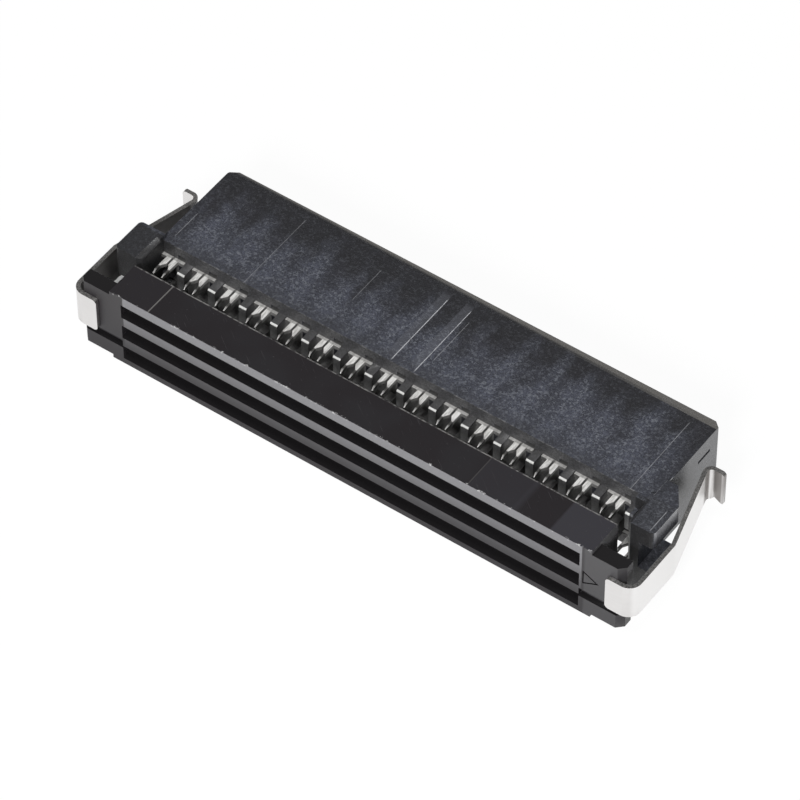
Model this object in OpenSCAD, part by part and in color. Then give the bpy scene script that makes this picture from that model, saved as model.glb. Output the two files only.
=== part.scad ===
// Two-row ribbon cable socket, lying on its long side with the cover standing open.
// X runs along the rows, +Y points out of the mating face, +Z is up. All sizes are in millimetres.

/* [Rows] */
// Contacts in each of the two rows
ways = 15; // [10:1:20]
// Distance between neighbouring contacts in a row, twice the wire spacing of the ribbon
pitch = 2.54; // [2.5:0.01:2.7]
// Distance between the two rows of pin holes
row_gap = 2.54; // [2.5:0.01:2.7]

/* [Housing] */
// Depth of the housing from its rear face to the mating face
body_d = 8.05; // [7.6:0.05:9]
// Thickness of the housing between the ears
body_t = 5.6; // [5.5:0.05:6]
// Length of the slope from each long side down to the mating face
mate_run = 0.75; // [0.4:0.05:0.8]
// Drop of that slope
mate_drop = 0.25; // [0.15:0.01:0.3]
// Corner chamfer at both ends of the mating face
mate_corner = 0.5; // [0.3:0.05:0.6]
// How far the plain wall beside the last fork of a row stands out past the rear face
end_block_out = 0.35; // [0.25:0.05:0.5]
// Width of each guide ear along the row
ear_w = 2.05; // [1.8:0.05:2.4]
// How far each ear reaches past the rear face towards the mating side
ear_far = 0.22; // [0.1:0.02:0.4]
// Width of the join between an ear and the end wall
ear_root = 0.25; // [0.15:0.05:0.4]
// Smallest gap between an ear and the end of the cover
ear_clear = 0.1; // [0.06:0.01:0.2]
// Lead-in chamfer along the inner edges of each ear
ear_lead = 0.32; // [0.2:0.02:0.4]
// Corner radius at the outer edges of each ear
ear_r = 0.32; // [0.2:0.02:0.5]
// Height of the thin arm of each ear, beside the opening for the clip
ear_arm = 1.5; // [1.2:0.05:1.6]
// Height of the opening in the outer side of each ear
ear_open = 2.4; // [2:0.05:2.6]
// Thickness of the wall between that opening and the cover
ear_web = 0.95; // [0.7:0.05:1.2]
// How far the shoulder behind a thin arm runs along the end face
brace_l = 1.66; // [1:0.05:2]
// Width of that shoulder at its far end
brace_w = 0.8; // [0.5:0.05:1]
// Width of a wire support post
post_w = 0.58; // [0.5:0.02:0.6]
// Height of a wire support post
post_h = 1.5; // [1:0.1:1.6]
// Bevel on the front top edge of a wire support post
post_bevel = 0.12; // [0.05:0.01:0.2]
// Length of the shallow catch slot in each end face
catch_l = 1.4; // [1:0.1:1.8]
// Distance from the mating face to the start of the catch slot
catch_back = 2.8; // [2.6:0.05:3.2]
// Height of the catch slot above the middle of the housing
catch_z = 1.3; // [1:0.05:1.6]
// Width of the catch slot
catch_w = 0.25; // [0.2:0.01:0.35]
// Depth of the shallow catch slot
catch_d = 0.22; // [0.1:0.02:0.3]

/* [Pin holes] */
// Width of the chamber around a contact's beams
cav_w = 1.1; // [1:0.02:1.2]
// Height of the chamber around a contact's beams
cav_h = 1.66; // [1.6:0.02:1.76]
// Thickness of the wall behind the mating face
front_wall = 0.75; // [0.6:0.05:0.9]
// Side of the square pin hole
pin_hole = 0.9; // [0.8:0.02:1]
// Side of the funnel mouth in the mating face
funnel_w = 1.5; // [1.3:0.05:1.6]
// Depth of the funnel
funnel_d = 0.32; // [0.2:0.02:0.4]

/* [Contacts] */
// Thickness of the fork plate
plate_t = 0.3; // [0.25:0.01:0.32]
// Height of the fork plate's underside above the line of the pins
fork_lift = 0.15; // [0.1:0.01:0.2]
// Thickness of a spring beam
beam_t = 0.2; // [0.15:0.01:0.22]
// Width of a spring beam
beam_w = 0.6; // [0.5:0.02:0.62]
// Length of the fork from the rear face to its tips
fork_len = 1.9; // [1.8:0.05:2.4]
// Width across both prongs of a fork
fork_w = 0.9; // [0.86:0.02:1]
// Width of the wire slot in a fork
slot_w = 0.16; // [0.12:0.01:0.22]
// Length of the narrow wire slot from the rear face
slot_l = 0.78; // [0.6:0.02:0.9]
// Length of the slanted lead-in at the end of the wire slot
lead_l = 0.36; // [0.3:0.02:0.5]
// Width between the prongs past the lead-in
mouth_w = 0.62; // [0.5:0.02:0.66]
// Length of the pointed fork tips
tip_l = 0.3; // [0.2:0.02:0.4]
// Width of the shoulders that stop the contact in the housing
shoulder_w = 1.84; // [1.7:0.02:1.9]
// How far the shoulders stand out of the rear face
shoulder_out = 0.24; // [0.1:0.02:0.24]
// How far the shoulders are let into the housing
shoulder_in = 0.5; // [0.3:0.05:0.6]
// Width of the neck where it leaves the shoulders
neck_w = 0.6; // [0.5:0.02:0.7]
// Length of the slanted neck between the shoulders and the beams
neck_l = 0.45; // [0.4:0.01:0.5]
// Thickness of the strip that joins the two beams
bridge_t = 0.2; // [0.15:0.01:0.22]
// Distance from the joining strip to where the beams stand furthest apart
bow_l = 0.9; // [0.7:0.05:1.1]
// Distance from the tips of the beams back to where they grip the pin
grip_back = 1.2; // [1:0.05:1.4]
// Gap between the beam tips and the wall behind the mating face
tip_gap = 0.3; // [0.2:0.02:0.5]
// Clearance between a contact and the plastic around it
seat_clear = 0.03; // [0.02:0.005:0.05]

/* [Cover] */
// Thickness of the cover and the ears
cover_t = 6.44; // [6.3:0.02:6.8]
// Depth of the cover
cover_d = 2.95; // [2.8:0.05:3.6]
// Plain length from the last wire groove to the end of the cover
cover_end = 0.635; // [0.6:0.005:0.9]
// Room for the ribbon between the fork tips and the open cover
open_gap = 1.15; // [1:0.05:1.3]
// How far the cover is pressed home
press_travel = 1.8; // [1.6:0.05:1.9]
// Depth of the end flanges
flange_d = 1.1; // [1:0.05:1.2]
// Step down from the cover's top to the end flanges
flange_drop = 0.3; // [0.2:0.02:0.4]
// How far each flange reaches past the ear
flange_over = 0.12; // [0.05:0.01:0.2]
// Room between flange and ear when the cover is home
ear_stop = 0.5; // [0.3:0.05:0.6]
// How far the loose open cover sits off the middle, towards the left end
cover_shift = 0.12; // [0:0.01:0.16]
// Corner chamfer of the right end flange
flange_chamfer = 0.45; // [0.3:0.05:0.5]
// Radius of the wire grooves
groove_r = 0.55; // [0.5:0.01:0.57]
// Depth of the wire grooves
groove_d = 0.14; // [0.1:0.01:0.2]
// Broken edge along both long inner edges of the cover
cover_edge = 0.14; // [0.05:0.01:0.2]
// Clearance around a fork tip in its pocket
pocket_clear = 0.14; // [0.1:0.01:0.18]
// Spare depth behind the fork tips in their pockets
pocket_spare = 0.4; // [0.2:0.05:0.45]
// Height of a rib on the cover's back
rib_h = 0.78; // [0.6:0.02:0.9]
// Depth of the channels between the ribs
rib_d = 1.0; // [0.7:0.05:1.05]
// Distance from the cover's end to the end of the channels
rib_end = 0.9; // [0.7:0.05:1.2]
// Height of the cross channel in each flange
cross_h = 0.76; // [0.5:0.02:0.8]
// Depth of the cross channel in each flange
cross_d = 0.45; // [0.2:0.05:0.5]
// Length of the engraved triangle
mark_l = 1.25; // [1:0.05:1.4]
// Height of the engraved triangle
mark_h = 1.28; // [1:0.02:1.4]
// Depth of the engraved triangle
mark_d = 0.1; // [0.05:0.01:0.15]

/* [Clips] */
// Thickness of the clip strip
clip_t = 0.3; // [0.2:0.02:0.36]
// Height of the clip strip
clip_h = 2.85; // [2.4:0.05:3]
// Height of the strip's middle above the middle of the cover
clip_mid = 0.475; // [0.3:0.025:0.5]
// Length of the lip on the cover's back
lip_l = 1.24; // [1:0.02:1.6]
// Gap between the lip and the cover's back
lip_gap = 0.03; // [0.02:0.005:0.05]
// Smallest gap between the flange end and the side of the clip
side_gap = 0.46; // [0.4:0.01:0.6]
// How much closer to the cover the left clip sits
clip_shift = 0.1; // [0:0.01:0.14]
// Inside radius of the corner bend
bend_r = 0.65; // [0.55:0.05:0.75]
// How far the slanted part reaches past the rear face
clip_reach = 4.6; // [4.2:0.1:4.8]
// How far the slanted part leans in towards the housing
clip_lean = 1.7; // [1.5:0.05:1.75]
// Distance of the kink behind the rear face
kink_back = 1.6; // [1.5:0.05:2]
// Radius of the end bend, at the middle of the strip
end_bend_r = 0.45; // [0.4:0.01:0.5]
// Length of the release tab past the end bend
tab_l = 0.75; // [0.5:0.05:0.9]
// Height of the notch under the release tab
notch_h = 0.3; // [0.2:0.02:0.5]
// Corner radius of the lip and the tab
clip_corner = 0.3; // [0.15:0.05:0.4]

/* [Hidden] */
$fn = 48;
eps = 0.02;
wire = pitch / 2;
row_half = (2 * ways - 1) * wire / 2;
cover_half = row_half + cover_end;
ear_in = cover_half + cover_shift + ear_clear;
body_half = ear_in + ear_root;
ear_out = body_half + ear_w - ear_root;
flange_half = ear_out + flange_over;
clip_in = flange_half + cover_shift + side_gap;
left_chamfer = max(0.1, bend_r - side_gap + clip_shift);
fork_z = row_gap / 2 + fork_lift + plate_t / 2;
cover_in_y = -(fork_len + open_gap);
cover_rear_y = cover_in_y - cover_d;
ear_rear_y = cover_rear_y + flange_d + press_travel + ear_stop;
post_len = fork_len + open_gap - press_travel - 0.19;
pocket_d = press_travel - open_gap + pocket_spare;
flange_t = cover_t - 2 * flange_drop;
rib_pitch = (cover_t - 0.48) / 3;
lip_y = cover_rear_y - lip_gap;
clip_z0 = clip_mid - clip_h / 2;
x_mid = clip_shift / 2;
y_mid = (body_d + lip_y - clip_t) / 2;
beam_half = pin_hole * 0.28;
neck_y = shoulder_in + neck_l;
bridge_y = neck_y + 0.15;
spring_y = body_d - front_wall - tip_gap;

function upper_x(i) = -row_half + i * pitch;
function cell_x(i) = upper_x(i) + wire / 2;
function tag(name, i) = str(name, i + 1);

// Moves the assembly so that it stands on Z = 0 with its middle over the origin
module place() {
  translate([-x_mid, -y_mid, cover_t / 2])
    children();
}

// Draws its children as they are, and again turned half a turn about the middle line
module both_rows() {
  children();
  rotate([0, 180, 0])
    children();
}

// Draws its children at one end of the row, and mirrored at the other
module both_ends() {
  children();
  mirror([1, 0, 0])
    children();
}

// Pushes a drawing in Y and Z along X from x0 to x1
module along_x(x0, x1) {
  translate([x0, 0, 0])
    rotate([90, 0, 90])
      linear_extrude(x1 - x0)
        children();
}

// A plain box from one corner to the opposite one
module box(a, b) {
  translate(a)
    cube(b - a);
}

// Housing outline: a block that slopes down to its mating face
module body_block() {
  t = body_t / 2;
  m = t - mate_drop;
  y = body_d - mate_run;
  c = mate_corner;
  intersection() {
    along_x(-body_half, body_half)
      polygon([[0, -t], [0, t], [y, t], [body_d, m], [body_d, -m], [y, -t]]);
    translate([0, 0, -t])
      linear_extrude(body_t)
        polygon([
          [-body_half, 0],
          [body_half, 0],
          [body_half, body_d - c],
          [body_half - c, body_d],
          [c - body_half, body_d],
          [-body_half, body_d - c]
        ]);
  }
}

// Guide ear at the right end: two arms, with an opening between them for the clip
module ear() {
  t = cover_t / 2;
  difference() {
    union() {
      translate([0, 0, -t])
        linear_extrude(cover_t)
          ear_outline();
      translate([0, 0, t - ear_arm])
        linear_extrude(ear_arm)
          polygon([
            [body_half - eps, ear_far - ear_r],
            [ear_out, ear_far - ear_r],
            [ear_out, ear_far],
            [body_half + brace_w, brace_l],
            [body_half - eps, brace_l]
          ]);
    }
    for (side = [1, -1])
      ear_lead_in(side * t, side * (t - ear_lead));
    box(
      [ear_in + ear_web, ear_rear_y - eps, t - ear_arm - ear_open],
      [ear_out + eps, ear_far + eps, t - ear_arm]
    );
  }
}

// An ear seen from above, with round outer corners and a chamfer at its free end
module ear_outline() {
  difference() {
    union() {
      translate([ear_in, ear_rear_y])
        square([ear_out - ear_in - ear_r, ear_far - ear_rear_y]);
      translate([ear_in + eps, ear_rear_y + ear_r])
        square([ear_out - ear_in - eps, ear_far - ear_rear_y - 2 * ear_r]);
      for (y = [ear_rear_y + ear_r, ear_far - ear_r])
        translate([ear_out - ear_r, y])
          circle(ear_r);
    }
    polygon([
      [ear_in - eps, ear_rear_y - eps],
      [ear_in + ear_r, ear_rear_y - eps],
      [ear_in - eps, ear_rear_y + ear_r]
    ]);
  }
}

// Wedge that chamfers one inner edge of an ear, from z0 at the edge to z1 on its inner face
module ear_lead_in(z0, z1) {
  translate([0, -end_block_out, 0])
    rotate([90, 0, 0])
      linear_extrude(-end_block_out - ear_rear_y + eps)
        polygon([
          [ear_in - eps, 2 * z0 - z1],
          [ear_in + ear_lead, 2 * z0 - z1],
          [ear_in + ear_lead, z0],
          [ear_in - eps, z1]
        ]);
}

// Plain wall between the last fork of the upper row and the right ear
module end_block() {
  x0 = row_half - wire + shoulder_w / 2 + seat_clear;
  box([x0, -end_block_out, 0], [body_half, eps, body_t / 2]);
}

// Wire support posts, one beside each fork
module posts() {
  top = fork_z + plate_t / 2;
  for (i = [0:ways - 1])
    along_x(upper_x(i) + wire - post_w / 2, upper_x(i) + wire + post_w / 2)
      polygon([
        [eps, top],
        [post_bevel - post_len, top],
        [-post_len, top - post_bevel],
        [-post_len, top - post_h],
        [eps, top - post_h]
      ]);
}

// Everything that is cut out of the housing for one upper contact
module contact_room(i) {
  z = row_gap / 2;
  x = cell_x(i);
  f = upper_x(i);
  low = fork_z - plate_t / 2;
  box(
    [x - cav_w / 2, neck_y - 0.05, z - cav_h / 2],
    [x + cav_w / 2, body_d - front_wall, z + cav_h / 2]
  );
  box(
    [x - beam_w / 2 - seat_clear, -eps, z - cav_h / 2],
    [x + beam_w / 2 + seat_clear, neck_y, z + cav_h / 2]
  );
  box(
    [f - shoulder_w / 2 - seat_clear, -end_block_out - eps, low],
    [f + shoulder_w / 2 + seat_clear, shoulder_in, low + plate_t + seat_clear]
  );
  translate([0, 0, low])
    linear_extrude(plate_t + seat_clear)
      polygon([
        [f - neck_w / 2 - seat_clear, shoulder_in - eps],
        [f + neck_w / 2 + seat_clear, shoulder_in - eps],
        [x + beam_w / 2 + seat_clear, neck_y],
        [x - beam_w / 2 - seat_clear, neck_y]
      ]);
  box(
    [x - pin_hole / 2, body_d - front_wall - eps, z - pin_hole / 2],
    [x + pin_hole / 2, body_d + eps, z + pin_hole / 2]
  );
  funnel(x, z);
}

// Square funnel in the mating face
module funnel(x, z) {
  a = funnel_w / 2;
  b = pin_hole / 2;
  y0 = body_d - funnel_d;
  y1 = body_d + eps;
  intersection() {
    translate([0, 0, z - a - eps])
      linear_extrude(2 * a + 2 * eps)
        polygon([[x - b, y0], [x + b, y0], [x + a, y1], [x - a, y1]]);
    along_x(x - a - eps, x + a + eps)
      polygon([[y0, z - b], [y0, z + b], [y1, z + a], [y1, z - a]]);
  }
}

// Shallow slot in the right end face
module catch_slot() {
  y0 = body_d - catch_back;
  box([body_half - catch_d, y0, catch_z], [body_half + eps, y0 + catch_l, catch_z + catch_w]);
}

module housing() {
  color([0.16, 0.17, 0.2])
    difference() {
      union() {
        body_block();
        both_rows() {
          ear();
          end_block();
          posts();
        }
      }
      for (i = [0:ways - 1])
        both_rows()
          contact_room(i);
      both_ends()
        catch_slot();
    }
}

// Flat fork, shoulders and neck of an upper contact, around x = 0 at its wire slot
module fork_plate() {
  w = fork_w / 2;
  s = slot_w / 2;
  m = mouth_w / 2;
  n = (w - m) / 2;
  lead = slot_l + lead_l;
  difference() {
    translate([0, 0, fork_z - plate_t / 2])
      linear_extrude(plate_t)
        difference() {
          polygon([
            [-w + n, -fork_len],
            [w - n, -fork_len],
            [w, tip_l - fork_len],
            [w, -shoulder_out],
            [shoulder_w / 2, -shoulder_out],
            [shoulder_w / 2, shoulder_in],
            [neck_w / 2, shoulder_in],
            [wire / 2 + beam_w / 2, neck_y],
            [wire / 2 + beam_w / 2, bridge_y + bridge_t],
            [wire / 2 - beam_w / 2, bridge_y + bridge_t],
            [wire / 2 - beam_w / 2, neck_y],
            [-neck_w / 2, shoulder_in],
            [-shoulder_w / 2, shoulder_in],
            [-shoulder_w / 2, -shoulder_out],
            [-w, -shoulder_out],
            [-w, tip_l - fork_len]
          ]);
          polygon([
            [-m, -fork_len - eps],
            [m, -fork_len - eps],
            [m, -lead],
            [s, -slot_l],
            [s, -0.1],
            [-s, -0.1],
            [-s, -slot_l],
            [-m, -lead]
          ]);
          translate([0, -0.1])
            circle(s);
        }
    along_x(-w - eps, w + eps)
      polygon([
        [-fork_len - eps, fork_z],
        [tip_l - fork_len, fork_z + plate_t / 2],
        [tip_l - fork_len, fork_z + plate_t],
        [-fork_len - eps, fork_z + plate_t]
      ]);
  }
}

// The two spring beams that grip a pin, and the strip that joins them
module beams() {
  z = row_gap / 2;
  top = fork_z + plate_t / 2;
  low = fork_z - plate_t / 2;
  back = z - cav_h / 2 + 0.22;
  rise = z + cav_h / 2 - 0.12 - beam_t;
  grip = z + beam_half;
  fall = 2 * z - rise;
  hold = 2 * z - grip;
  near = bridge_y;
  bow = bridge_y + bridge_t + bow_l;
  mid = spring_y - grip_back;
  far = spring_y;
  translate([wire / 2, 0, 0])
    along_x(-beam_w / 2, beam_w / 2) {
      polygon([
        [near, low],
        [bow, rise],
        [mid, grip],
        [far, rise],
        [far, rise + beam_t],
        [mid, grip + beam_t],
        [bow, rise + beam_t],
        [near, top]
      ]);
      polygon([[near, back], [near + bridge_t, back], [near + bridge_t, top], [near, top]]);
      polygon([
        [near, back],
        [bow, fall - beam_t],
        [mid, hold - beam_t],
        [far, fall - beam_t],
        [far, fall],
        [mid, hold],
        [bow, fall],
        [near, back + beam_t + 0.05]
      ]);
    }
}

// One upper contact at position i
module upper_contact(i) {
  color([0.78, 0.78, 0.75])
    translate([upper_x(i), 0, 0]) {
      fork_plate();
      beams();
    }
}

// One lower contact at position i, an upper one turned half a turn
module lower_contact(i) {
  rotate([0, 180, 0])
    upper_contact(ways - 1 - i);
}

// Section of the cover between its end flanges, with three channels in its back
module ribbed_section() {
  t = cover_t / 2;
  r = cover_rear_y;
  d = cover_rear_y + rib_d;
  polygon([
    [cover_in_y - cover_edge, -t],
    [cover_in_y, cover_edge - t],
    [cover_in_y, t - cover_edge],
    [cover_in_y - cover_edge, t],
    [r, t],
    [r, t - rib_h],
    [d, t - rib_h],
    [d, t - rib_pitch],
    [r, t - rib_pitch],
    [r, t - rib_pitch - rib_h],
    [d, t - rib_pitch - rib_h],
    [d, t - 2 * rib_pitch],
    [r, t - 2 * rib_pitch],
    [r, t - 2 * rib_pitch - rib_h],
    [d, t - 2 * rib_pitch - rib_h],
    [d, t - 3 * rib_pitch],
    [r, t - 3 * rib_pitch],
    [r, -t]
  ]);
}

// Right end of the cover: the full section, then the thinner flange the clip holds, chamfered by k
module cover_end_piece(k) {
  t = cover_t / 2;
  f = flange_t / 2;
  r = cover_rear_y;
  difference() {
    union() {
      along_x(cover_half - rib_end, cover_half)
        polygon([
          [r, -t],
          [r, t],
          [cover_in_y - cover_edge, t],
          [cover_in_y, t - cover_edge],
          [cover_in_y, cover_edge - t],
          [cover_in_y - cover_edge, -t]
        ]);
      translate([0, 0, -f])
        linear_extrude(flange_t)
          polygon([
            [cover_half - eps, r],
            [flange_half - k, r],
            [flange_half, r + k],
            [flange_half, r + flange_d],
            [cover_half - eps, r + flange_d]
          ]);
    }
    box(
      [cover_half - rib_end - eps, r - eps, clip_z0 - cross_h],
      [flange_half + eps, r + cross_d, clip_z0]
    );
  }
}

// Thin engraved triangle on the back of the right flange
module mark() {
  x = cover_half - rib_end + 0.25;
  h = mark_h / 2;
  translate([x, cover_rear_y + mark_d, 0.34])
    rotate([90, 0, 0])
      linear_extrude(mark_d + eps)
        difference() {
          polygon([[0, -h], [0, h], [mark_l, 0]]);
          polygon([[0.1, -h + 0.18], [0.1, h - 0.18], [mark_l - 0.25, 0]]);
        }
}

module cover() {
  pw = fork_w / 2 + pocket_clear + cover_shift;
  pz = plate_t / 2 + pocket_clear;
  color([0.1, 0.1, 0.11])
    translate([-cover_shift, 0, 0])
      difference() {
        union() {
          along_x(rib_end - cover_half, cover_half - rib_end)
            ribbed_section();
          cover_end_piece(flange_chamfer);
          mirror([1, 0, 0])
            cover_end_piece(left_chamfer);
        }
        for (j = [0:2 * ways - 1])
          translate([-row_half + j * wire, cover_in_y + groove_r - groove_d, -cover_t])
            cylinder(h = 2 * cover_t, r = groove_r);
        for (i = [0:ways - 1])
          both_rows()
            box(
              [upper_x(i) - pw, cover_in_y - pocket_d, fork_z - pz],
              [upper_x(i) + pw, cover_in_y + eps, fork_z + pz]
            );
        mark();
      }
}

// Outline of the right clip seen from above
module clip_path() {
  h = clip_t / 2;
  x0 = flange_half - lip_l;
  cx = clip_in - bend_r;
  cy = lip_y + bend_r;
  lean = atan2(clip_lean, clip_reach + kink_back);
  ex = clip_in + h - clip_lean;
  bx = ex + end_bend_r * cos(lean);
  by = clip_reach + end_bend_r * sin(lean);
  ty = by + end_bend_r;
  dx = h * cos(lean);
  dy = h * sin(lean);
  translate([x0, lip_y - clip_t])
    square([cx - x0 + eps, clip_t]);
  intersection() {
    difference() {
      translate([cx, cy])
        circle(bend_r + clip_t);
      translate([cx, cy])
        circle(bend_r);
    }
    translate([cx, cy - bend_r - clip_t])
      square([bend_r + clip_t, bend_r + clip_t]);
  }
  translate([clip_in, cy - eps])
    square([clip_t, -kink_back - cy + eps]);
  polygon([
    [clip_in, -kink_back - eps],
    [clip_in + clip_t, -kink_back - eps],
    [clip_in + clip_t, -kink_back],
    [ex + dx, clip_reach + dy],
    [ex - dx, clip_reach - dy],
    [clip_in, -kink_back]
  ]);
  intersection() {
    difference() {
      translate([bx, by])
        circle(end_bend_r + h);
      translate([bx, by])
        circle(end_bend_r - h);
    }
    polygon([
      [bx, by],
      [bx - 2 * cos(lean), by - 2 * sin(lean)],
      [bx - 3, by + 3],
      [bx, by + 3]
    ]);
  }
  translate([bx - eps, ty - h])
    square([tab_l + eps, clip_t]);
}

// Clip strip of the right end, with rounded lip and a notched release tab
module clip() {
  h = clip_t / 2;
  tab_x = clip_in + h - clip_lean + end_bend_r + tab_l;
  lip_x = flange_half - lip_l;
  z1 = clip_z0 + clip_h;
  c = clip_corner;
  color([0.83, 0.83, 0.82])
    difference() {
      translate([0, 0, clip_z0])
        linear_extrude(clip_h)
          clip_path();
      corner_cut(lip_x, lip_y - clip_t, z1, c, 1, -1);
      corner_cut(lip_x, lip_y - clip_t, clip_z0, c, 1, 1);
      corner_cut(tab_x, clip_reach, z1, c, -1, -1);
      translate([0, clip_reach + 2, 0])
        rotate([90, 0, 0])
          linear_extrude(2)
            polygon([
              [tab_x - tab_l - 0.15, clip_z0 - eps],
              [tab_x - tab_l + 0.1, clip_z0 + notch_h],
              [tab_x - 0.15, clip_z0 - eps]
            ]);
    }
}

// Removes a square corner at x, z and leaves a round one, cutting along Y
module corner_cut(x, y, z, c, sx, sz) {
  translate([x, y + 1.5, z])
    rotate([90, 0, 0])
      linear_extrude(2.5)
        difference() {
          translate([sx > 0 ? -eps : -c, sz > 0 ? -eps : -c])
            square(c + eps);
          translate([sx * c, sz * c])
            circle(c);
        }
}

module right_clip() {
  clip();
}

module left_clip() {
  translate([clip_shift, 0, 0])
    mirror([1, 0, 0])
      clip();
}

place() housing();
place() cover();
place() left_clip();
place() right_clip();
for (i = [0:ways - 1])
  place() upper_contact(i);
for (i = [0:ways - 1])
  place() lower_contact(i);
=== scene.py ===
"""Looks of a two-row ribbon cable socket that lies on its long side with its cover open."""

import math

import bmesh
import bpy
from mathutils import Matrix, Vector


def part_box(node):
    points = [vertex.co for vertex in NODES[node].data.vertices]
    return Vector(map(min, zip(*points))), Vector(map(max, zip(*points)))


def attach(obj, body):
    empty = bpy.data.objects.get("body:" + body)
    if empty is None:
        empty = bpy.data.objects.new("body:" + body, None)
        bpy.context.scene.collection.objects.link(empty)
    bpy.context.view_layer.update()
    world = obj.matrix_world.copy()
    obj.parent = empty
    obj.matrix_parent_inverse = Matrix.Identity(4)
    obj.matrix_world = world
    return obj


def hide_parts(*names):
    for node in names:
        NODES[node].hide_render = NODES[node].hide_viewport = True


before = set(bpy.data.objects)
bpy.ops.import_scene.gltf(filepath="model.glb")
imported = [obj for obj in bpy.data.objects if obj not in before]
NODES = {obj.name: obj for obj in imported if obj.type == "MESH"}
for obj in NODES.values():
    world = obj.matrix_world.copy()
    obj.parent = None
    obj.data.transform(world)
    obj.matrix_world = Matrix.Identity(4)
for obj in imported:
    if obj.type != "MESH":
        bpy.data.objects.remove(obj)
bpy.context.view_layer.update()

MM = 0.001
CLIPS = ["left_clip", "right_clip"]
CONTACTS = [name for name in NODES if "contact" in name]

# Camera, in millimetres, pixels and degrees
IMAGE_PX = 800
FOCAL_PX = 5169.7
SENSOR_MM = 36.0
CAMERA_AIM = (0.41, -1.66, 3.81)
CAMERA_DISTANCE = 334.72
CAMERA_AZIMUTH = 35.793
CAMERA_ELEVATION = 48.752
CAMERA_ROLL = 0.295

# Sizes on the part, in millimetres
PITCH = 2.54
FORK_LENGTH = 1.9
SHOULDER_LENGTH = 0.24
# Lengths from the fork end of the painted shadow on the tips and of the painted highlight on their
# points
TIP_SHADOW_LENGTH = 0.68
POINT_HIGHLIGHT_LENGTH = 0.34
POST_LENGTH = 1.06
EAR_STEP = 0.42

# Places on the part, in millimetres in the shared frame
HOUSING_LOW, HOUSING_HIGH = (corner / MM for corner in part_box("housing"))
COVER_LOW, COVER_HIGH = (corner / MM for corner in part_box("cover"))
ROW_MID_X = (HOUSING_LOW.x + HOUSING_HIGH.x) / 2
EAR_INNER_X = 18.4
RIB_HALF_X = 18.15
LEFT_LINE_X = -16.05
MID_LINE_X = 9.35
MID_PANEL_END_X = 13.1
END_PANEL_X = 15.7
COVER_INNER_Y = COVER_HIGH.y
COVER_REAR_Y = COVER_LOW.y
FORK_END_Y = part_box("upper_contact_1")[0].y / MM
# Ends of the painted highlight on the points and of the painted shadow on the tips
POINT_HIGHLIGHT_Y = FORK_END_Y + POINT_HIGHLIGHT_LENGTH
TIP_SHADOW_Y = FORK_END_Y + TIP_SHADOW_LENGTH
REAR_FACE_Y = FORK_END_Y + FORK_LENGTH
SHOULDER_Y = REAR_FACE_Y - SHOULDER_LENGTH
POST_FRONT_Y = REAR_FACE_Y - POST_LENGTH
TAB_Y = 3.4
COVER_TOP_Z = COVER_HIGH.z
HOUSING_TOP_Z = HOUSING_HIGH.z - EAR_STEP
# Heights where the painted shade in the pockets is darkest, and below which painted light lifts
# them most
POCKET_PAINTED_SHADE_Z = 5.3
POCKET_PAINTED_LIGHT_Z = 3.6

# Flow bands on the housing's top, in millimetres, with the sway in radians
BAND_X = 0.55
BAND_SWAY = 6.5
BAND_REACH = 0.75
RAGGED_REACH = 8.0
FLOW_FADES_Y = 0.8
FLOW_ENDS_Y = 6.0

# Witness lines on the housing: x from the middle, start and end from the rear face, strength
LINE_HALF = 0.038
MARK_X = 0.91
WITNESS_LINES = [
    (-MARK_X, 0.2, 6.5, 0.9),
    (MARK_X, 0.2, 6.5, 0.8),
    (1.38, 1.6, 5.6, 0.25),
    (-12.7, 0.0, 6.9, 0.22),
    (-6.0, 2.9, 6.1, 0.2),
    (-18.9, 0.8, 3.2, 0.3),
    (17.8, -0.3, 6.8, 0.3),
    (19.48, 0.2, 2.3, 0.7),
    (20.92, -2.4, -0.6, 0.5),
]
STRIP_WIDTH = 0.62

# Colours, with a pair where a texture runs from one to the other
HOUSING = {
    "body": ((0.010, 0.0105, 0.0125), (0.050, 0.052, 0.062)),
    "smooth": ((0.0085, 0.0085, 0.010), (0.024, 0.024, 0.028)),
    "pale": ((0.020, 0.022, 0.029), (0.072, 0.077, 0.100)),
    "strip": (0.084, 0.087, 0.100),
    "fibre": (0.135, 0.143, 0.163),
    "near_edge": (0.026, 0.026, 0.029),
    # Painted sheen on the far chamfer
    "chamfer": (0.215, 0.205, 0.190),
    # Painted shade for the pockets behind the rear face, and painted light that lifts them lower
    # down
    "pocket": ((0.020, 0.0195, 0.020), (0.044, 0.043, 0.044)),
    "pocket_painted_light": (0.170, 0.167, 0.163),
    # Painted shade on the ears' fronts, on the left ear and on the ears' inward faces
    "ear_painted_shade": (0.011, 0.0105, 0.0105),
    "ear_inner_painted_shade": (0.010, 0.0098, 0.0105),
    # Painted sheen on the end faces and painted reflection on the ears' outer sides
    "end_face_painted_sheen": (0.15, 0.151, 0.157),
    "ear_flank_painted_reflection": (0.23, 0.232, 0.245),
    # Painted highlights on the posts' front edges and on the rim over the rear face
    "post_edge_painted_highlight": (0.60, 0.60, 0.585),
    "rim": (0.20, 0.20, 0.205),
    "line": (0.44, 0.445, 0.465),
}
COVER = {
    "body": ((0.0155, 0.0135, 0.0152), (0.0178, 0.0165, 0.0185)),
    "panel": (0.034, 0.033, 0.039),
    "line": (0.16, 0.155, 0.15),
    "rib": ((0.080, 0.079, 0.084), (0.195, 0.193, 0.203)),
    "flange": (0.008, 0.0076, 0.008),
    # Painted light on the right end block and painted sheen on the outward steps
    "end_block": (0.055, 0.054, 0.057),
    "step": (0.105, 0.104, 0.108),
    "scratch": (0.13, 0.13, 0.135),
    # Pale specks on the rear top edge, and a painted highlight along the inner top edge
    "rear_edge_specks": (0.45, 0.45, 0.45),
    "inner_edge_highlight": (0.24, 0.235, 0.228),
}
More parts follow.
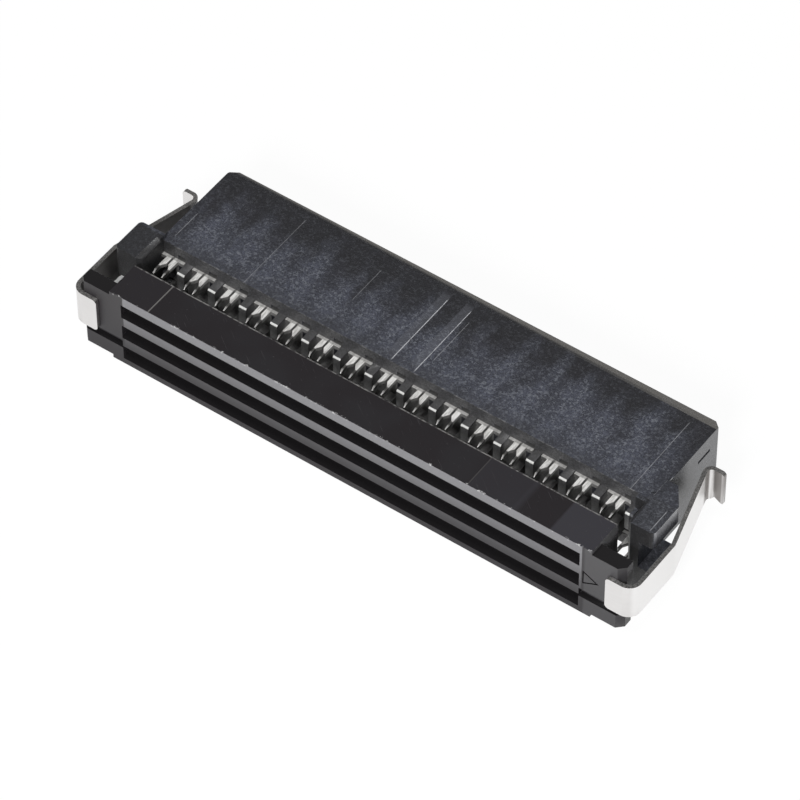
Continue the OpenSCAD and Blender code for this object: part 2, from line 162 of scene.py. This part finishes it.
STEEL = {
    "rolled": ((0.70, 0.685, 0.675), (0.80, 0.79, 0.785)),
    # Painted reflection on the faces that look along the row
    "side_painted_reflection": (0.95, 0.945, 0.94),
    "stain": (0.30, 0.285, 0.275),
    # Painted shade on the faces that turn towards the part
    "inner": (0.30, 0.288, 0.284),
    "sheared": ((0.20, 0.195, 0.19), (0.46, 0.45, 0.44)),
}
TIN = {
    "plating": ((0.58, 0.57, 0.55), (0.95, 0.94, 0.92)),
    "side": (0.11, 0.108, 0.105),
    "front": (0.022, 0.021, 0.021),
    "shoulder": (0.24, 0.235, 0.23),
    # Painted shade on the seats, painted shadow on the tips and painted highlights on their points
    "seat_painted_shade": (0.062, 0.061, 0.061),
    "tip_painted_shadow": (0.075, 0.072, 0.069),
    "point_painted_highlight": (0.92, 0.91, 0.89),
}
COVER_ROUGH = 0.26
COVER_BACK_ROUGH = 0.46

# Edge rounding and the shortest edge that gets it, in millimetres
EDGE = {"housing": 0.06, "cover": 0.05, "clip": 0.04, "contact": 0.035}
SHORTEST = {"housing": 0.3, "cover": 0.3, "clip": 0.06, "contact": 0.3}
WELD = 0.002
FLAT_DEG = 0.5
SHARP_DEG = 32
SMOOTH_DEG = 38

# Zones of the floor where the camera sees its real shade: x limits and softness, then y
SHADE_ZONES = [
    (-23.6, -20.0, 0.5, -4.0, 4.0, 1.0),
    (-21.5, 12.0, 2.0, -3.0, 8.0, 1.5),
    (-21.5, 16.0, 1.5, 5.0, 8.0, 1.5),
]
FLOOR_HALF = 1.5
FLOOR_GLOW = 0.95

# Lights, in metres, watts and room strength
KEY_PLACE = (0.20, -0.56, 0.44)
KEY_SIZE = 0.16
KEY_WATTS = 6.9
TOP_PLACE = (0.06, -0.16, 0.60)
TOP_SIZE = 0.14
TOP_WATTS = 1.3
ROOM_FRONT = 0.22
ROOM_BEHIND = 0.12

# Colour sockets of a Mix node
MIX_A = 6
MIX_B = 7
MIX_RESULT = 2


class Graph:
    """Short calls for the nodes of one procedural material, with places in millimetres."""

    def __init__(self, name):
        self.material = bpy.data.materials.new(name)
        self.material.use_nodes = True
        self.tree = self.material.node_tree
        self.shader = self.tree.nodes["Principled BSDF"]
        self.colour = None
        coords = self.tree.nodes.new("ShaderNodeTexCoord")
        self.place = self.mapped(coords.outputs["Object"], scale=(1 / MM, 1 / MM, 1 / MM))
        self.x, self.y, self.z = self.axes(self.place)
        self.nx, self.ny, self.nz = self.axes(coords.outputs["Normal"])
        self.outward = self.math("MULTIPLY", self.nx, self.math("SIGN", self.x))

    def put(self, value, socket):
        """Links a socket's output to an input, or sets a plain value there."""
        if isinstance(value, bpy.types.NodeSocket):
            self.tree.links.new(value, socket)
        else:
            socket.default_value = value

    def set(self, **inputs):
        """Sets inputs of the surface shader, with _ for each space in their names."""
        for name, value in inputs.items():
            self.put(value, self.shader.inputs[name.replace("_", " ")])

    def axes(self, vector):
        """The three parts of a vector."""
        node = self.tree.nodes.new("ShaderNodeSeparateXYZ")
        self.put(vector, node.inputs["Vector"])
        return node.outputs

    def mapped(self, vector, scale=(1, 1, 1), turn=(0, 0, 0), shift=(0, 0, 0)):
        """A vector that is scaled, turned in degrees and shifted."""
        node = self.tree.nodes.new("ShaderNodeMapping")
        self.put(vector, node.inputs["Vector"])
        node.inputs["Scale"].default_value = scale
        node.inputs["Rotation"].default_value = [math.radians(a) for a in turn]
        node.inputs["Location"].default_value = shift
        return node.outputs["Vector"]

    def noise(self, scale, detail, roughness, distortion=0.0, vector=None):
        """Noise with a scale in cycles to the millimetre."""
        node = self.tree.nodes.new("ShaderNodeTexNoise")
        self.put(vector or self.place, node.inputs["Vector"])
        node.inputs["Scale"].default_value = scale
        node.inputs["Detail"].default_value = detail
        node.inputs["Roughness"].default_value = roughness
        node.inputs["Distortion"].default_value = distortion
        return node.outputs["Fac"]

    def streaks(self, along, across, turn_deg, shift):
        """Noise drawn out along one direction in the plane of the top faces."""
        turned = self.mapped(self.place, turn=(0, 0, turn_deg))
        scale = (1 / along, 1 / across, 1 / across)
        drawn = self.mapped(turned, scale=scale, shift=(shift, shift, 0))
        return self.noise(scale=1.0, detail=2, roughness=0.6, vector=drawn)

    def ridge(self, scale, width, shift):
        """Thin winding lines, where a noise crosses its middle value."""
        moved = self.mapped(self.place, shift=(shift, -shift, 0))
        waves = self.noise(scale, detail=2, roughness=0.55, distortion=0.6, vector=moved)
        return self.fall(self.math("ABSOLUTE", self.math("SUBTRACT", waves, 0.5)), 0.0, width)

    def math(self, operation, a, b=0.0, c=0.0):
        """One step of arithmetic."""
        node = self.tree.nodes.new("ShaderNodeMath")
        node.operation = operation
        for value, socket in zip((a, b, c), node.inputs):
            self.put(value, socket)
        return node.outputs["Value"]

    def times(self, *values):
        """The product of all the values."""
        total = values[0]
        for value in values[1:]:
            total = self.math("MULTIPLY", total, value)
        return total

    def most(self, *values):
        """The largest of the values."""
        total = values[0]
        for value in values[1:]:
            total = self.math("MAXIMUM", total, value)
        return total

    def remap(self, value, low, high, to_low, to_high):
        """A smooth step from to_low to to_high while a value goes from low to high."""
        node = self.tree.nodes.new("ShaderNodeMapRange")
        node.interpolation_type = "SMOOTHSTEP"
        for v, key in zip((value, low, high, to_low, to_high),
                          ("Value", "From Min", "From Max", "To Min", "To Max")):
            self.put(v, node.inputs[key])
        return node.outputs["Result"]

    def rise(self, value, low, high):
        """A smooth step from 0 up to 1 between two limits."""
        return self.remap(value, low, high, 0.0, 1.0)

    def fall(self, value, low, high):
        """A smooth step from 1 down to 0 between two limits."""
        return self.remap(value, low, high, 1.0, 0.0)

    def past(self, value, limit, soft):
        """1 where a value is past a limit, with a soft edge."""
        return self.rise(value, limit - soft, limit + soft)

    def before(self, value, limit, soft):
        """1 where a value is short of a limit, with a soft edge."""
        return self.fall(value, limit - soft, limit + soft)

    def between(self, value, low, high, soft):
        """1 between two limits, falling to 0 outside them."""
        return self.times(self.past(value, low, soft), self.before(value, high, soft))

    def opposite(self, mask):
        """0 where a mask is 1, and 1 where it is 0."""
        return self.fall(mask, 0.0, 1.0)

    def line_y(self, x, y0, y1, half_width):
        """Mask of a thin line along Y on a top face."""
        away = self.math("ABSOLUTE", self.math("SUBTRACT", self.x, x))
        return self.times(self.fall(away, half_width * 0.5, half_width),
                          self.between(self.y, y0, y1, 0.15))

    def facing_up(self):
        """1 on faces that look up."""
        return self.rise(self.nz, 0.6, 0.9)

    def facing_rear(self):
        """1 on faces that look away from the mating side."""
        return self.fall(self.ny, -0.9, -0.6)

    def facing_out(self):
        """1 on faces that look along the row, away from its middle."""
        return self.rise(self.outward, 0.7, 0.9)

    def mix(self, factor, a, b):
        """A colour between two colours."""
        node = self.tree.nodes.new("ShaderNodeMix")
        node.data_type = "RGBA"
        self.put(factor, node.inputs["Factor"])
        for colour, index in ((a, MIX_A), (b, MIX_B)):
            linked = isinstance(colour, bpy.types.NodeSocket)
            self.put(colour if linked else (*colour, 1), node.inputs[index])
        return node.outputs[MIX_RESULT]

    def paint(self, paint, share, *masks):
        """Lays a colour over the surface where all masks are 1, at a share of its strength."""
        self.colour = self.mix(self.times(*masks, share), self.colour, paint)

    def bump(self, height, depth_mm, strength):
        """Shades the surface as if it were raised by a height."""
        node = self.tree.nodes.new("ShaderNodeBump")
        node.inputs["Strength"].default_value = strength
        node.inputs["Distance"].default_value = depth_mm * MM
        self.put(height, node.inputs["Height"])
        self.put(node.outputs["Normal"], self.shader.inputs["Normal"])


def housing_plastic():
    """Bluish dark grey moulding, with pale flow bands, short fibres and witness lines on top."""
    g = Graph("housing_plastic")
    mottle = g.rise(g.noise(scale=1.6, detail=4, roughness=0.6), 0.34, 0.66)
    grain = g.rise(g.noise(scale=11.0, detail=2, roughness=0.6), 0.34, 0.66)
    tone = g.math("ADD", g.times(mottle, 0.25), g.times(grain, 0.75))
    g.colour = g.mix(tone, *HOUSING["body"])
    ahead = g.rise(g.y, REAR_FACE_Y + 0.005, REAR_FACE_Y + 0.02)
    behind = g.opposite(ahead)
    ends = g.past(g.math("ABSOLUTE", g.x), EAR_INNER_X, 0.05)
    middle = g.opposite(ends)
    outer = g.facing_out()
    fibres = housing_top(g, tone, ahead, middle)
    housing_rear(g, tone, behind, middle, ends)
    housing_ends(g, outer, ahead, behind)
    housing_edges(g, middle)
    rough = g.remap(tone, 0.0, 1.0, 0.58, 0.42)
    g.set(Base_Color=g.colour, Roughness=g.remap(outer, 0.0, 1.0, rough, 0.27))
    relief = g.times(g.math("ADD", tone, fibres), g.remap(outer, 0.0, 1.0, 1.0, 0.2))
    g.bump(relief, depth_mm=0.012, strength=0.6)
    return g.material


def housing_top(g, tone, ahead, middle):
    """Flow bands, strips and fibres of the top, its dim near edge and a painted sheen on its far
    chamfer.
    """
    top = g.facing_up()
    flow = housing_flow(g)
    bands = g.mix(flow, g.mix(tone, *HOUSING["smooth"]), g.mix(tone, *HOUSING["pale"]))
    g.paint(bands, 1.0, top, ahead)
    g.paint(HOUSING["strip"], 0.4, housing_strips(g), top)
    fibres = housing_fibres(g)
    g.paint(HOUSING["fibre"], 1.0, fibres, g.remap(g.times(flow, top), 0.0, 1.0, 0.15, 0.8))
    near = g.times(g.rise(g.nz, 0.3, 0.5), g.fall(g.y, REAR_FACE_Y + 0.3, REAR_FACE_Y + 1.3))
    g.paint(HOUSING["near_edge"], 0.4, near, middle)
    # Painted sheen on the far chamfer and other faces that lean towards the mating side
    g.paint(HOUSING["chamfer"], 0.9, g.between(g.ny, 0.3, 0.85, 0.1))
    return fibres


def housing_flow(g):
    """Pale flow bands on the housing's top, one to a contact, dying out to the mating side."""
    sway = g.math("SUBTRACT", g.noise(scale=0.55, detail=3, roughness=0.55), 0.5)
    turns = g.times(g.math("SUBTRACT", g.x, BAND_X), 2 * math.pi / PITCH)
    band = g.math("COSINE", g.math("ADD", turns, g.times(sway, BAND_SWAY)))
    stretched = g.mapped(g.place, scale=(1, 0.45, 1))
    drawn = g.noise(scale=0.4, detail=4, roughness=0.6, distortion=0.4, vector=stretched)
    ragged = g.times(g.math("SUBTRACT", drawn, 0.5), RAGGED_REACH)
    reach = g.math("ADD", ragged, g.remap(g.x, -16, 16, -0.4, 0.8))
    depth = g.math("SUBTRACT", g.y, g.math("ADD", g.times(band, BAND_REACH), reach))
    fade_to_ends = g.remap(g.math("ABSOLUTE", g.x), 17.4, 19.2, 1.0, 0.45)
    return g.times(g.fall(depth, FLOW_FADES_Y, FLOW_ENDS_Y), g.remap(band, -1, 1, 0.70, 1.0),
                   fade_to_ends)


def housing_strips(g):
    """Two plain lighter strips on the housing's top, each along one side of a witness line."""
    edges = [ROW_MID_X - MARK_X, ROW_MID_X + MARK_X]
    sides = [g.between(g.x, edge - STRIP_WIDTH, edge, 0.03) for edge in edges]
    return g.times(g.most(*sides), g.between(g.y, REAR_FACE_Y + 0.5, REAR_FACE_Y + 6.9, 0.3))


def housing_fibres(g):
    """Short pale fibres: winding lines of two sizes that another noise breaks up."""
    moved = g.mapped(g.place, shift=(5, 3, 0))
    broken = g.rise(g.noise(scale=4.6, detail=2, roughness=0.5, vector=moved), 0.46, 0.60)
    coarse = g.ridge(scale=2.2, width=0.050, shift=0)
    fine = g.ridge(scale=3.6, width=0.062, shift=9)
    return g.times(g.most(coarse, fine), broken)


def housing_lines(g):
    """Fine pale witness lines along Y on the housing's top and on one ear."""
    lines = []
    for x, start, end, strength in WITNESS_LINES:
        line = g.line_y(ROW_MID_X + x, REAR_FACE_Y + start, REAR_FACE_Y + end, LINE_HALF)
        lines.append(g.times(line, strength))
    uneven = g.remap(g.noise(scale=2.5, detail=2, roughness=0.5), 0.25, 0.6, 0.45, 1.0)
    return g.times(g.most(*lines), uneven)


def housing_rear(g, tone, behind, middle, ends):
    """Painted shade in the pockets, lifted by painted light lower down, and painted shade on the
    ears.
    """
    # Painted light that lifts the pockets lower down, over the painted shade in them
    painted_light_share = g.times(g.fall(g.z, POCKET_PAINTED_LIGHT_Z, POCKET_PAINTED_SHADE_Z), 0.9)
    pocket = g.mix(painted_light_share, g.mix(tone, *HOUSING["pocket"]), HOUSING["pocket_painted_light"])
    g.paint(pocket, 0.8, behind, middle)
    # Painted shade on the left ear and on the ears' fronts
    left_ear = g.times(g.before(g.x, -EAR_INNER_X, 0.05), 0.6)
    ear_fronts = g.times(ends, g.facing_rear(), 0.85)
    g.paint(HOUSING["ear_painted_shade"], 1.0, behind, g.most(left_ear, ear_fronts))
    # Painted shade on the inward faces of the ears
    g.paint(HOUSING["ear_inner_painted_shade"], 0.85, behind, ends, g.fall(g.outward, -0.7, -0.3))


def housing_ends(g, outer, ahead, behind):
    """A painted sheen on the end faces, and a painted reflection on the ears' outer sides near the
    top.
    """
    # Painted sheen on the end faces
    g.paint(HOUSING["end_face_painted_sheen"], 0.4, outer, ahead)
    upper = g.rise(g.z, COVER_TOP_Z - 1.3, COVER_TOP_Z - 0.1)
    # Painted reflection on the ears' outer sides, strongest near the top
    g.paint(HOUSING["ear_flank_painted_reflection"], 0.9, behind, outer, upper)


def housing_edges(g, middle):
    """Painted highlights on the posts' front edges and the rim over the rear face, and the witness
    lines.
    """
    # Painted highlight on the bevelled front edges of the posts
    at_front = g.between(g.y, POST_FRONT_Y, POST_FRONT_Y + 0.12, 0.03)
    bevelled = g.times(g.between(g.ny, -0.85, -0.55, 0.08), g.between(g.nz, 0.55, 0.85, 0.08))
    g.paint(HOUSING["post_edge_painted_highlight"], 0.9, at_front, middle, bevelled)
    # Painted highlight along the rim over the rear face, broken up by noise
    at_rim = g.times(g.between(g.y, REAR_FACE_Y - 0.01, REAR_FACE_Y + 0.05, 0.02),
                     g.rise(g.z, HOUSING_TOP_Z - 0.1, HOUSING_TOP_Z - 0.05))
    highlight_breaks = g.rise(g.noise(scale=2.4, detail=4, roughness=0.7), 0.48, 0.68)
    g.paint(HOUSING["rim"], 0.6, at_rim, middle, highlight_breaks)
    g.paint(HOUSING["line"], 1.0, housing_lines(g), g.facing_up())


def cover_plastic():
    """Smooth near-black moulding, with matt ribs, faint panels and a few scratches on top."""
    g = Graph("cover_plastic")
    up = g.facing_up()
    top = g.times(up, g.rise(g.z, COVER_TOP_Z - 0.2, COVER_TOP_Z - 0.1))
    back = g.facing_rear()
    grain = g.noise(scale=13.0, detail=4, roughness=0.7)
    cloud = g.rise(g.noise(scale=0.22, detail=2, roughness=0.5), 0.4, 0.65)
    g.colour = g.mix(cloud, *COVER["body"])
    cover_panels(g, top)
    cover_ribs(g, back, grain)
    g.paint(COVER["flange"], 0.8, up, g.opposite(top))
    cover_ends(g, back)
    cover_wear(g, top)
    rough = g.math("MULTIPLY_ADD", back, COVER_BACK_ROUGH - COVER_ROUGH, COVER_ROUGH)
    g.set(Base_Color=g.colour, Roughness=rough,
          Specular_IOR_Level=g.remap(g.z, 0.0, COVER_TOP_Z, 0.25, 0.5))
    g.bump(grain, depth_mm=0.003, strength=0.35)
    return g.material


def cover_panels(g, top):
    """Faint lighter panels on the cover's top, and a pale line at the edge of two of them."""
    panels = g.most(
        g.times(g.fall(g.x, LEFT_LINE_X - 0.15, LEFT_LINE_X + 0.05), 0.12),
        g.times(g.between(g.x, MID_LINE_X + 0.05, MID_PANEL_END_X, 0.06), 0.35),
        g.times(g.between(g.x, MID_PANEL_END_X - 0.5, MID_PANEL_END_X, 0.25), 0.5),
        g.times(g.past(g.x, END_PANEL_X, 0.1), 0.85))
    g.paint(COVER["panel"], 1.0, panels, top)
    left_line = g.line_y(LEFT_LINE_X, COVER_REAR_Y, COVER_INNER_Y, 0.06)
    mid_line = g.line_y(MID_LINE_X, COVER_REAR_Y, COVER_INNER_Y, 0.05)
    g.paint(COVER["line"], 0.75, g.most(left_line, g.times(mid_line, 0.25)), top)


def cover_ribs(g, back, grain):
    """Matt grey fronts of the ribs, with painted shade that darkens them towards the floor."""
    ribs = g.times(g.between(g.x, -RIB_HALF_X, RIB_HALF_X, 0.02),
                   g.fall(g.y, COVER_REAR_Y + 0.02, COVER_REAR_Y + 0.1))
    # Painted shade: the ribs' grey fades to the dark body colour towards the floor
    g.paint(g.mix(grain, *COVER["rib"]), 1.0, back, ribs, g.rise(g.z, 1.0, COVER_TOP_Z))


def cover_ends(g, back):
    """Painted light on the right end block, and a painted sheen on the outward faces of the end
    steps.
    """
    # Painted light on the right end block's rear face
    g.paint(COVER["end_block"], 0.5, back, g.rise(g.x, RIB_HALF_X + 0.1, RIB_HALF_X + 0.3))
    upper = g.rise(g.z, COVER_TOP_Z - 1.6, COVER_TOP_Z - 0.6)
    # Painted sheen on the outward faces of the end steps
    g.paint(COVER["step"], 0.8, g.facing_out(), upper)


def cover_wear(g, top):
    """Scratches and specks on the top, pale specks on the rear top edge, a painted highlight on the
    inner edge.
    """
    scratches = g.rise(g.streaks(along=2.2, across=0.05, turn_deg=35, shift=2), 0.68, 0.76)
    specks = g.rise(g.noise(scale=7.0, detail=1, roughness=0.5), 0.74, 0.8)
    g.paint(COVER["scratch"], 0.3, g.most(scratches, specks), top)
    # Pale specks along the rear top edge
    rear_edge = g.times(g.rise(g.z, COVER_TOP_Z - 0.16, COVER_TOP_Z - 0.08),
                        g.fall(g.y, COVER_REAR_Y + 0.08, COVER_REAR_Y + 0.12))
    rear_edge_specks = g.rise(g.noise(scale=3.0, detail=4, roughness=0.7), 0.56, 0.66)
    g.paint(COVER["rear_edge_specks"], 1.0, rear_edge, rear_edge_specks)
    # Painted highlight along the inner top edge, broken up by noise
    inner_edge_highlight = g.times(g.rise(g.z, COVER_TOP_Z - 0.2, COVER_TOP_Z - 0.16),
                         g.rise(g.y, COVER_INNER_Y - 0.24, COVER_INNER_Y - 0.2))
    highlight_breaks = g.remap(g.noise(scale=2.2, detail=3, roughness=0.7), 0.38, 0.62, 0.05, 0.75)
    g.paint(COVER["inner_edge_highlight"], 1.0, inner_edge_highlight, highlight_breaks)


def clip_steel():
    """Bright rolled strip with speckled sheared edges, painted side reflection, painted inner
    shade, streaked tab.
    """
    g = Graph("clip_steel")
    along_strip = g.mapped(g.place, scale=(1.2, 1.2, 14))
    rolled = g.noise(scale=1.0, detail=3, roughness=0.6, vector=along_strip)
    fleck = g.noise(scale=9.0, detail=4, roughness=0.7)
    g.colour = g.mix(rolled, *STEEL["rolled"])
    # Painted reflection on the faces that look along the row
    g.paint(STEEL["side_painted_reflection"], 0.6, g.rise(g.math("ABSOLUTE", g.nx), 0.55, 0.85))
    tab = g.past(g.y, TAB_Y, 0.2)
    right = g.past(g.x, 0.0, 1.0)
    upright = g.mapped(g.place, scale=(2.6, 2.6, 0.12))
    streaks = g.rise(g.noise(scale=1.0, detail=2, roughness=0.5, vector=upright), 0.32, 0.54)
    g.paint(STEEL["stain"], 1.0, tab, right, streaks)
    # Painted shade on the inner faces
    g.paint(STEEL["inner"], 0.9, g.fall(g.outward, -0.8, -0.4), g.opposite(tab))
    edge = g.rise(g.math("ABSOLUTE", g.nz), 0.55, 0.9)
    g.paint(g.mix(g.rise(fleck, 0.4, 0.62), *STEEL["sheared"]), 1.0, edge)
    rough = g.math("ADD", g.remap(rolled, 0.3, 0.7, 0.36, 0.46), g.times(edge, 0.12))
    g.set(Base_Color=g.colour, Metallic=1.0, Roughness=rough)
    g.bump(fleck, depth_mm=0.002, strength=0.3)
    return g.material


def contact_tin():
    """Dull bright plating drawn along the tines, dark sheared sides, painted seat shade, tip shadow
    and point highlights.
    """
    g = Graph("contact_tin")
    along_tine = g.mapped(g.place, scale=(7, 1.1, 7))
    drawn = g.noise(scale=1.0, detail=4, roughness=0.65, vector=along_tine)
    front = g.facing_rear()
    g.colour = g.mix(g.rise(drawn, 0.32, 0.62), *TIN["plating"])
    g.paint(TIN["side"], 0.85, g.fall(g.math("ABSOLUTE", g.nz), 0.25, 0.5))
    g.paint(TIN["front"], 0.95, front)
    g.paint(TIN["shoulder"], 0.6, g.past(g.y, SHOULDER_Y, 0.04))
    # Painted shade where the contact enters the housing
    g.paint(TIN["seat_painted_shade"], 0.92, g.rise(g.y, REAR_FACE_Y - 0.05, REAR_FACE_Y + 0.01))
    # Painted shadow on the tips
    g.paint(TIN["tip_painted_shadow"], 0.93, g.fall(g.y, TIP_SHADOW_Y, TIP_SHADOW_Y + 0.10))
    # Painted highlights on the bevelled edges of the points
    g.paint(TIN["point_painted_highlight"], 0.9, g.before(g.y, POINT_HIGHLIGHT_Y, 0.1), g.rise(g.nz, 0.3, 0.5))
    g.set(Base_Color=g.colour, Metallic=g.remap(front, 0.0, 1.0, 0.6, 0.2),
          Roughness=g.remap(drawn, 0.3, 0.7, 0.5, 0.62))
    g.bump(drawn, depth_mm=0.004, strength=0.4)
    return g.material


def rounded_mesh(node, kind):
    """A mesh of a CAD node in its place, with its sharp outer edges rounded."""
    bm = bmesh.new()
    bm.from_mesh(NODES[node].data)
    bmesh.ops.transform(bm, matrix=NODES[node].matrix_world, verts=bm.verts)
    bmesh.ops.scale(bm, vec=(1 / MM, 1 / MM, 1 / MM), verts=bm.verts)
    bmesh.ops.remove_doubles(bm, verts=bm.verts, dist=WELD)
    bmesh.ops.dissolve_limit(bm, angle_limit=math.radians(FLAT_DEG), verts=bm.verts, edges=bm.edges)
    edges = [e for e in bm.edges
             if e.is_manifold and e.is_convex and e.calc_length() > SHORTEST[kind]
             and e.calc_face_angle() > math.radians(SHARP_DEG)]
    bmesh.ops.bevel(bm, geom=edges, offset=EDGE[kind], offset_type="OFFSET", segments=2,
                    profile=0.5, affect="EDGES", clamp_overlap=True)
    bmesh.ops.scale(bm, vec=(MM, MM, MM), verts=bm.verts)
    mesh = bpy.data.meshes.new(node + "_rounded")
    bm.to_mesh(mesh)
    bm.free()
    return mesh


def rounded(node, body, kind, material):
    """A copy of a CAD node with its sharp outer edges rounded, shown in its place."""
    mesh = rounded_mesh(node, kind)
    mesh.materials.append(material)
    mesh.shade_smooth()
    mesh.set_sharp_from_angle(angle=math.radians(SMOOTH_DEG))
    piece = bpy.data.objects.new(node + "_rounded", mesh)
    bpy.context.scene.collection.objects.link(piece)
    weighted = piece.modifiers.new("even_shading", "WEIGHTED_NORMAL")
    weighted.keep_sharp = True
    weighted.weight = 100
    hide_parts(node)
    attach(piece, body)


def floor_white():
    """White in reflections and to the camera, which sees the real shade in a few zones."""
    g = Graph("floor_white")
    g.set(Base_Color=(0.9, 0.9, 0.9, 1), Roughness=0.8, Specular_IOR_Level=0.0)
    path = g.tree.nodes.new("ShaderNodeLightPath").outputs
    zones = [g.times(g.between(g.x, x0, x1, soft_x), g.between(g.y, y0, y1, soft_y))
             for x0, x1, soft_x, y0, y1, soft_y in SHADE_ZONES]
    seen = g.times(path["Is Camera Ray"], g.opposite(g.most(*zones)), FLOOR_GLOW)
    mirrored = g.times(path["Is Glossy Ray"], FLOOR_GLOW)
    glow = g.tree.nodes.new("ShaderNodeEmission")
    glow.inputs["Color"].default_value = (1, 1, 1, 1)
    blend = g.tree.nodes.new("ShaderNodeMixShader")
    share_input, lit_input, glow_input = blend.inputs
    g.put(g.most(seen, mirrored), share_input)
    g.put(g.shader.outputs["BSDF"], lit_input)
    g.put(glow.outputs["Emission"], glow_input)
    g.put(blend.outputs["Shader"], g.tree.nodes["Material Output"].inputs["Surface"])
    return g.material


def floor():
    """A large pale square under the part."""
    mesh = bpy.data.meshes.new("floor")
    corners = [(x * FLOOR_HALF, y * FLOOR_HALF, 0) for x, y in ((-1, -1), (1, -1), (1, 1), (-1, 1))]
    mesh.from_pydata(corners, [], [(0, 1, 2, 3)])
    mesh.materials.append(floor_white())
    obj = bpy.data.objects.new("floor", mesh)
    bpy.context.scene.collection.objects.link(obj)


def area_light(name, place, size, power):
    """A square soft box at a place in metres, turned towards the part's origin."""
    data = bpy.data.lights.new(name, "AREA")
    data.size = size
    data.energy = power
    lamp = bpy.data.objects.new(name, data)
    lamp.location = place
    lamp.rotation_euler = (-Vector(place)).to_track_quat("-Z", "Y").to_euler()
    bpy.context.scene.collection.objects.link(lamp)


def room():
    """A dim room, brighter on the cover's side of the part than on its mating side."""
    world = bpy.data.worlds.new("studio")
    world.use_nodes = True
    tree = world.node_tree
    coords = tree.nodes.new("ShaderNodeTexCoord")
    axes = tree.nodes.new("ShaderNodeSeparateXYZ")
    fade = tree.nodes.new("ShaderNodeMapRange")
    fade.inputs["From Min"].default_value = -1
    fade.inputs["From Max"].default_value = 1
    fade.inputs["To Min"].default_value = ROOM_FRONT
    fade.inputs["To Max"].default_value = ROOM_BEHIND
    tree.links.new(coords.outputs["Generated"], axes.inputs["Vector"])
    tree.links.new(axes.outputs["Y"], fade.inputs["Value"])
    background = tree.nodes["Background"]
    background.inputs["Color"].default_value = (1, 1, 1, 1)
    tree.links.new(fade.outputs["Result"], background.inputs["Strength"])
    bpy.context.scene.world = world


def camera():
    """The photograph's view, from the fitted angles and distance."""
    data = bpy.data.cameras.new("camera")
    data.sensor_width = SENSOR_MM
    data.sensor_fit = "HORIZONTAL"
    data.lens = FOCAL_PX / IMAGE_PX * SENSOR_MM
    data.clip_start = 0.01
    azimuth = Matrix.Rotation(math.radians(CAMERA_AZIMUTH), 4, "Z")
    tilt = Matrix.Rotation(math.radians(90 - CAMERA_ELEVATION), 4, "X")
    roll = Matrix.Rotation(math.radians(-CAMERA_ROLL), 4, "Z")
    back = Matrix.Translation((0, 0, CAMERA_DISTANCE * MM))
    obj = bpy.data.objects.new("camera", data)
    obj.matrix_world = Matrix.Translation(Vector(CAMERA_AIM) * MM) @ azimuth @ tilt @ roll @ back
    bpy.context.scene.collection.objects.link(obj)
    bpy.context.scene.camera = obj


steel = clip_steel()
tin = contact_tin()
rounded("housing", "housing", "housing", housing_plastic())
rounded("cover", "cover", "cover", cover_plastic())
for name in CLIPS:
    rounded(name, name, "clip", steel)
for name in CONTACTS:
    rounded(name, "housing", "contact", tin)
floor()
room()
area_light("front_box", KEY_PLACE, KEY_SIZE, KEY_WATTS)
area_light("top_box", TOP_PLACE, TOP_SIZE, TOP_WATTS)
camera()
bpy.context.scene.view_settings.view_transform = "Standard"
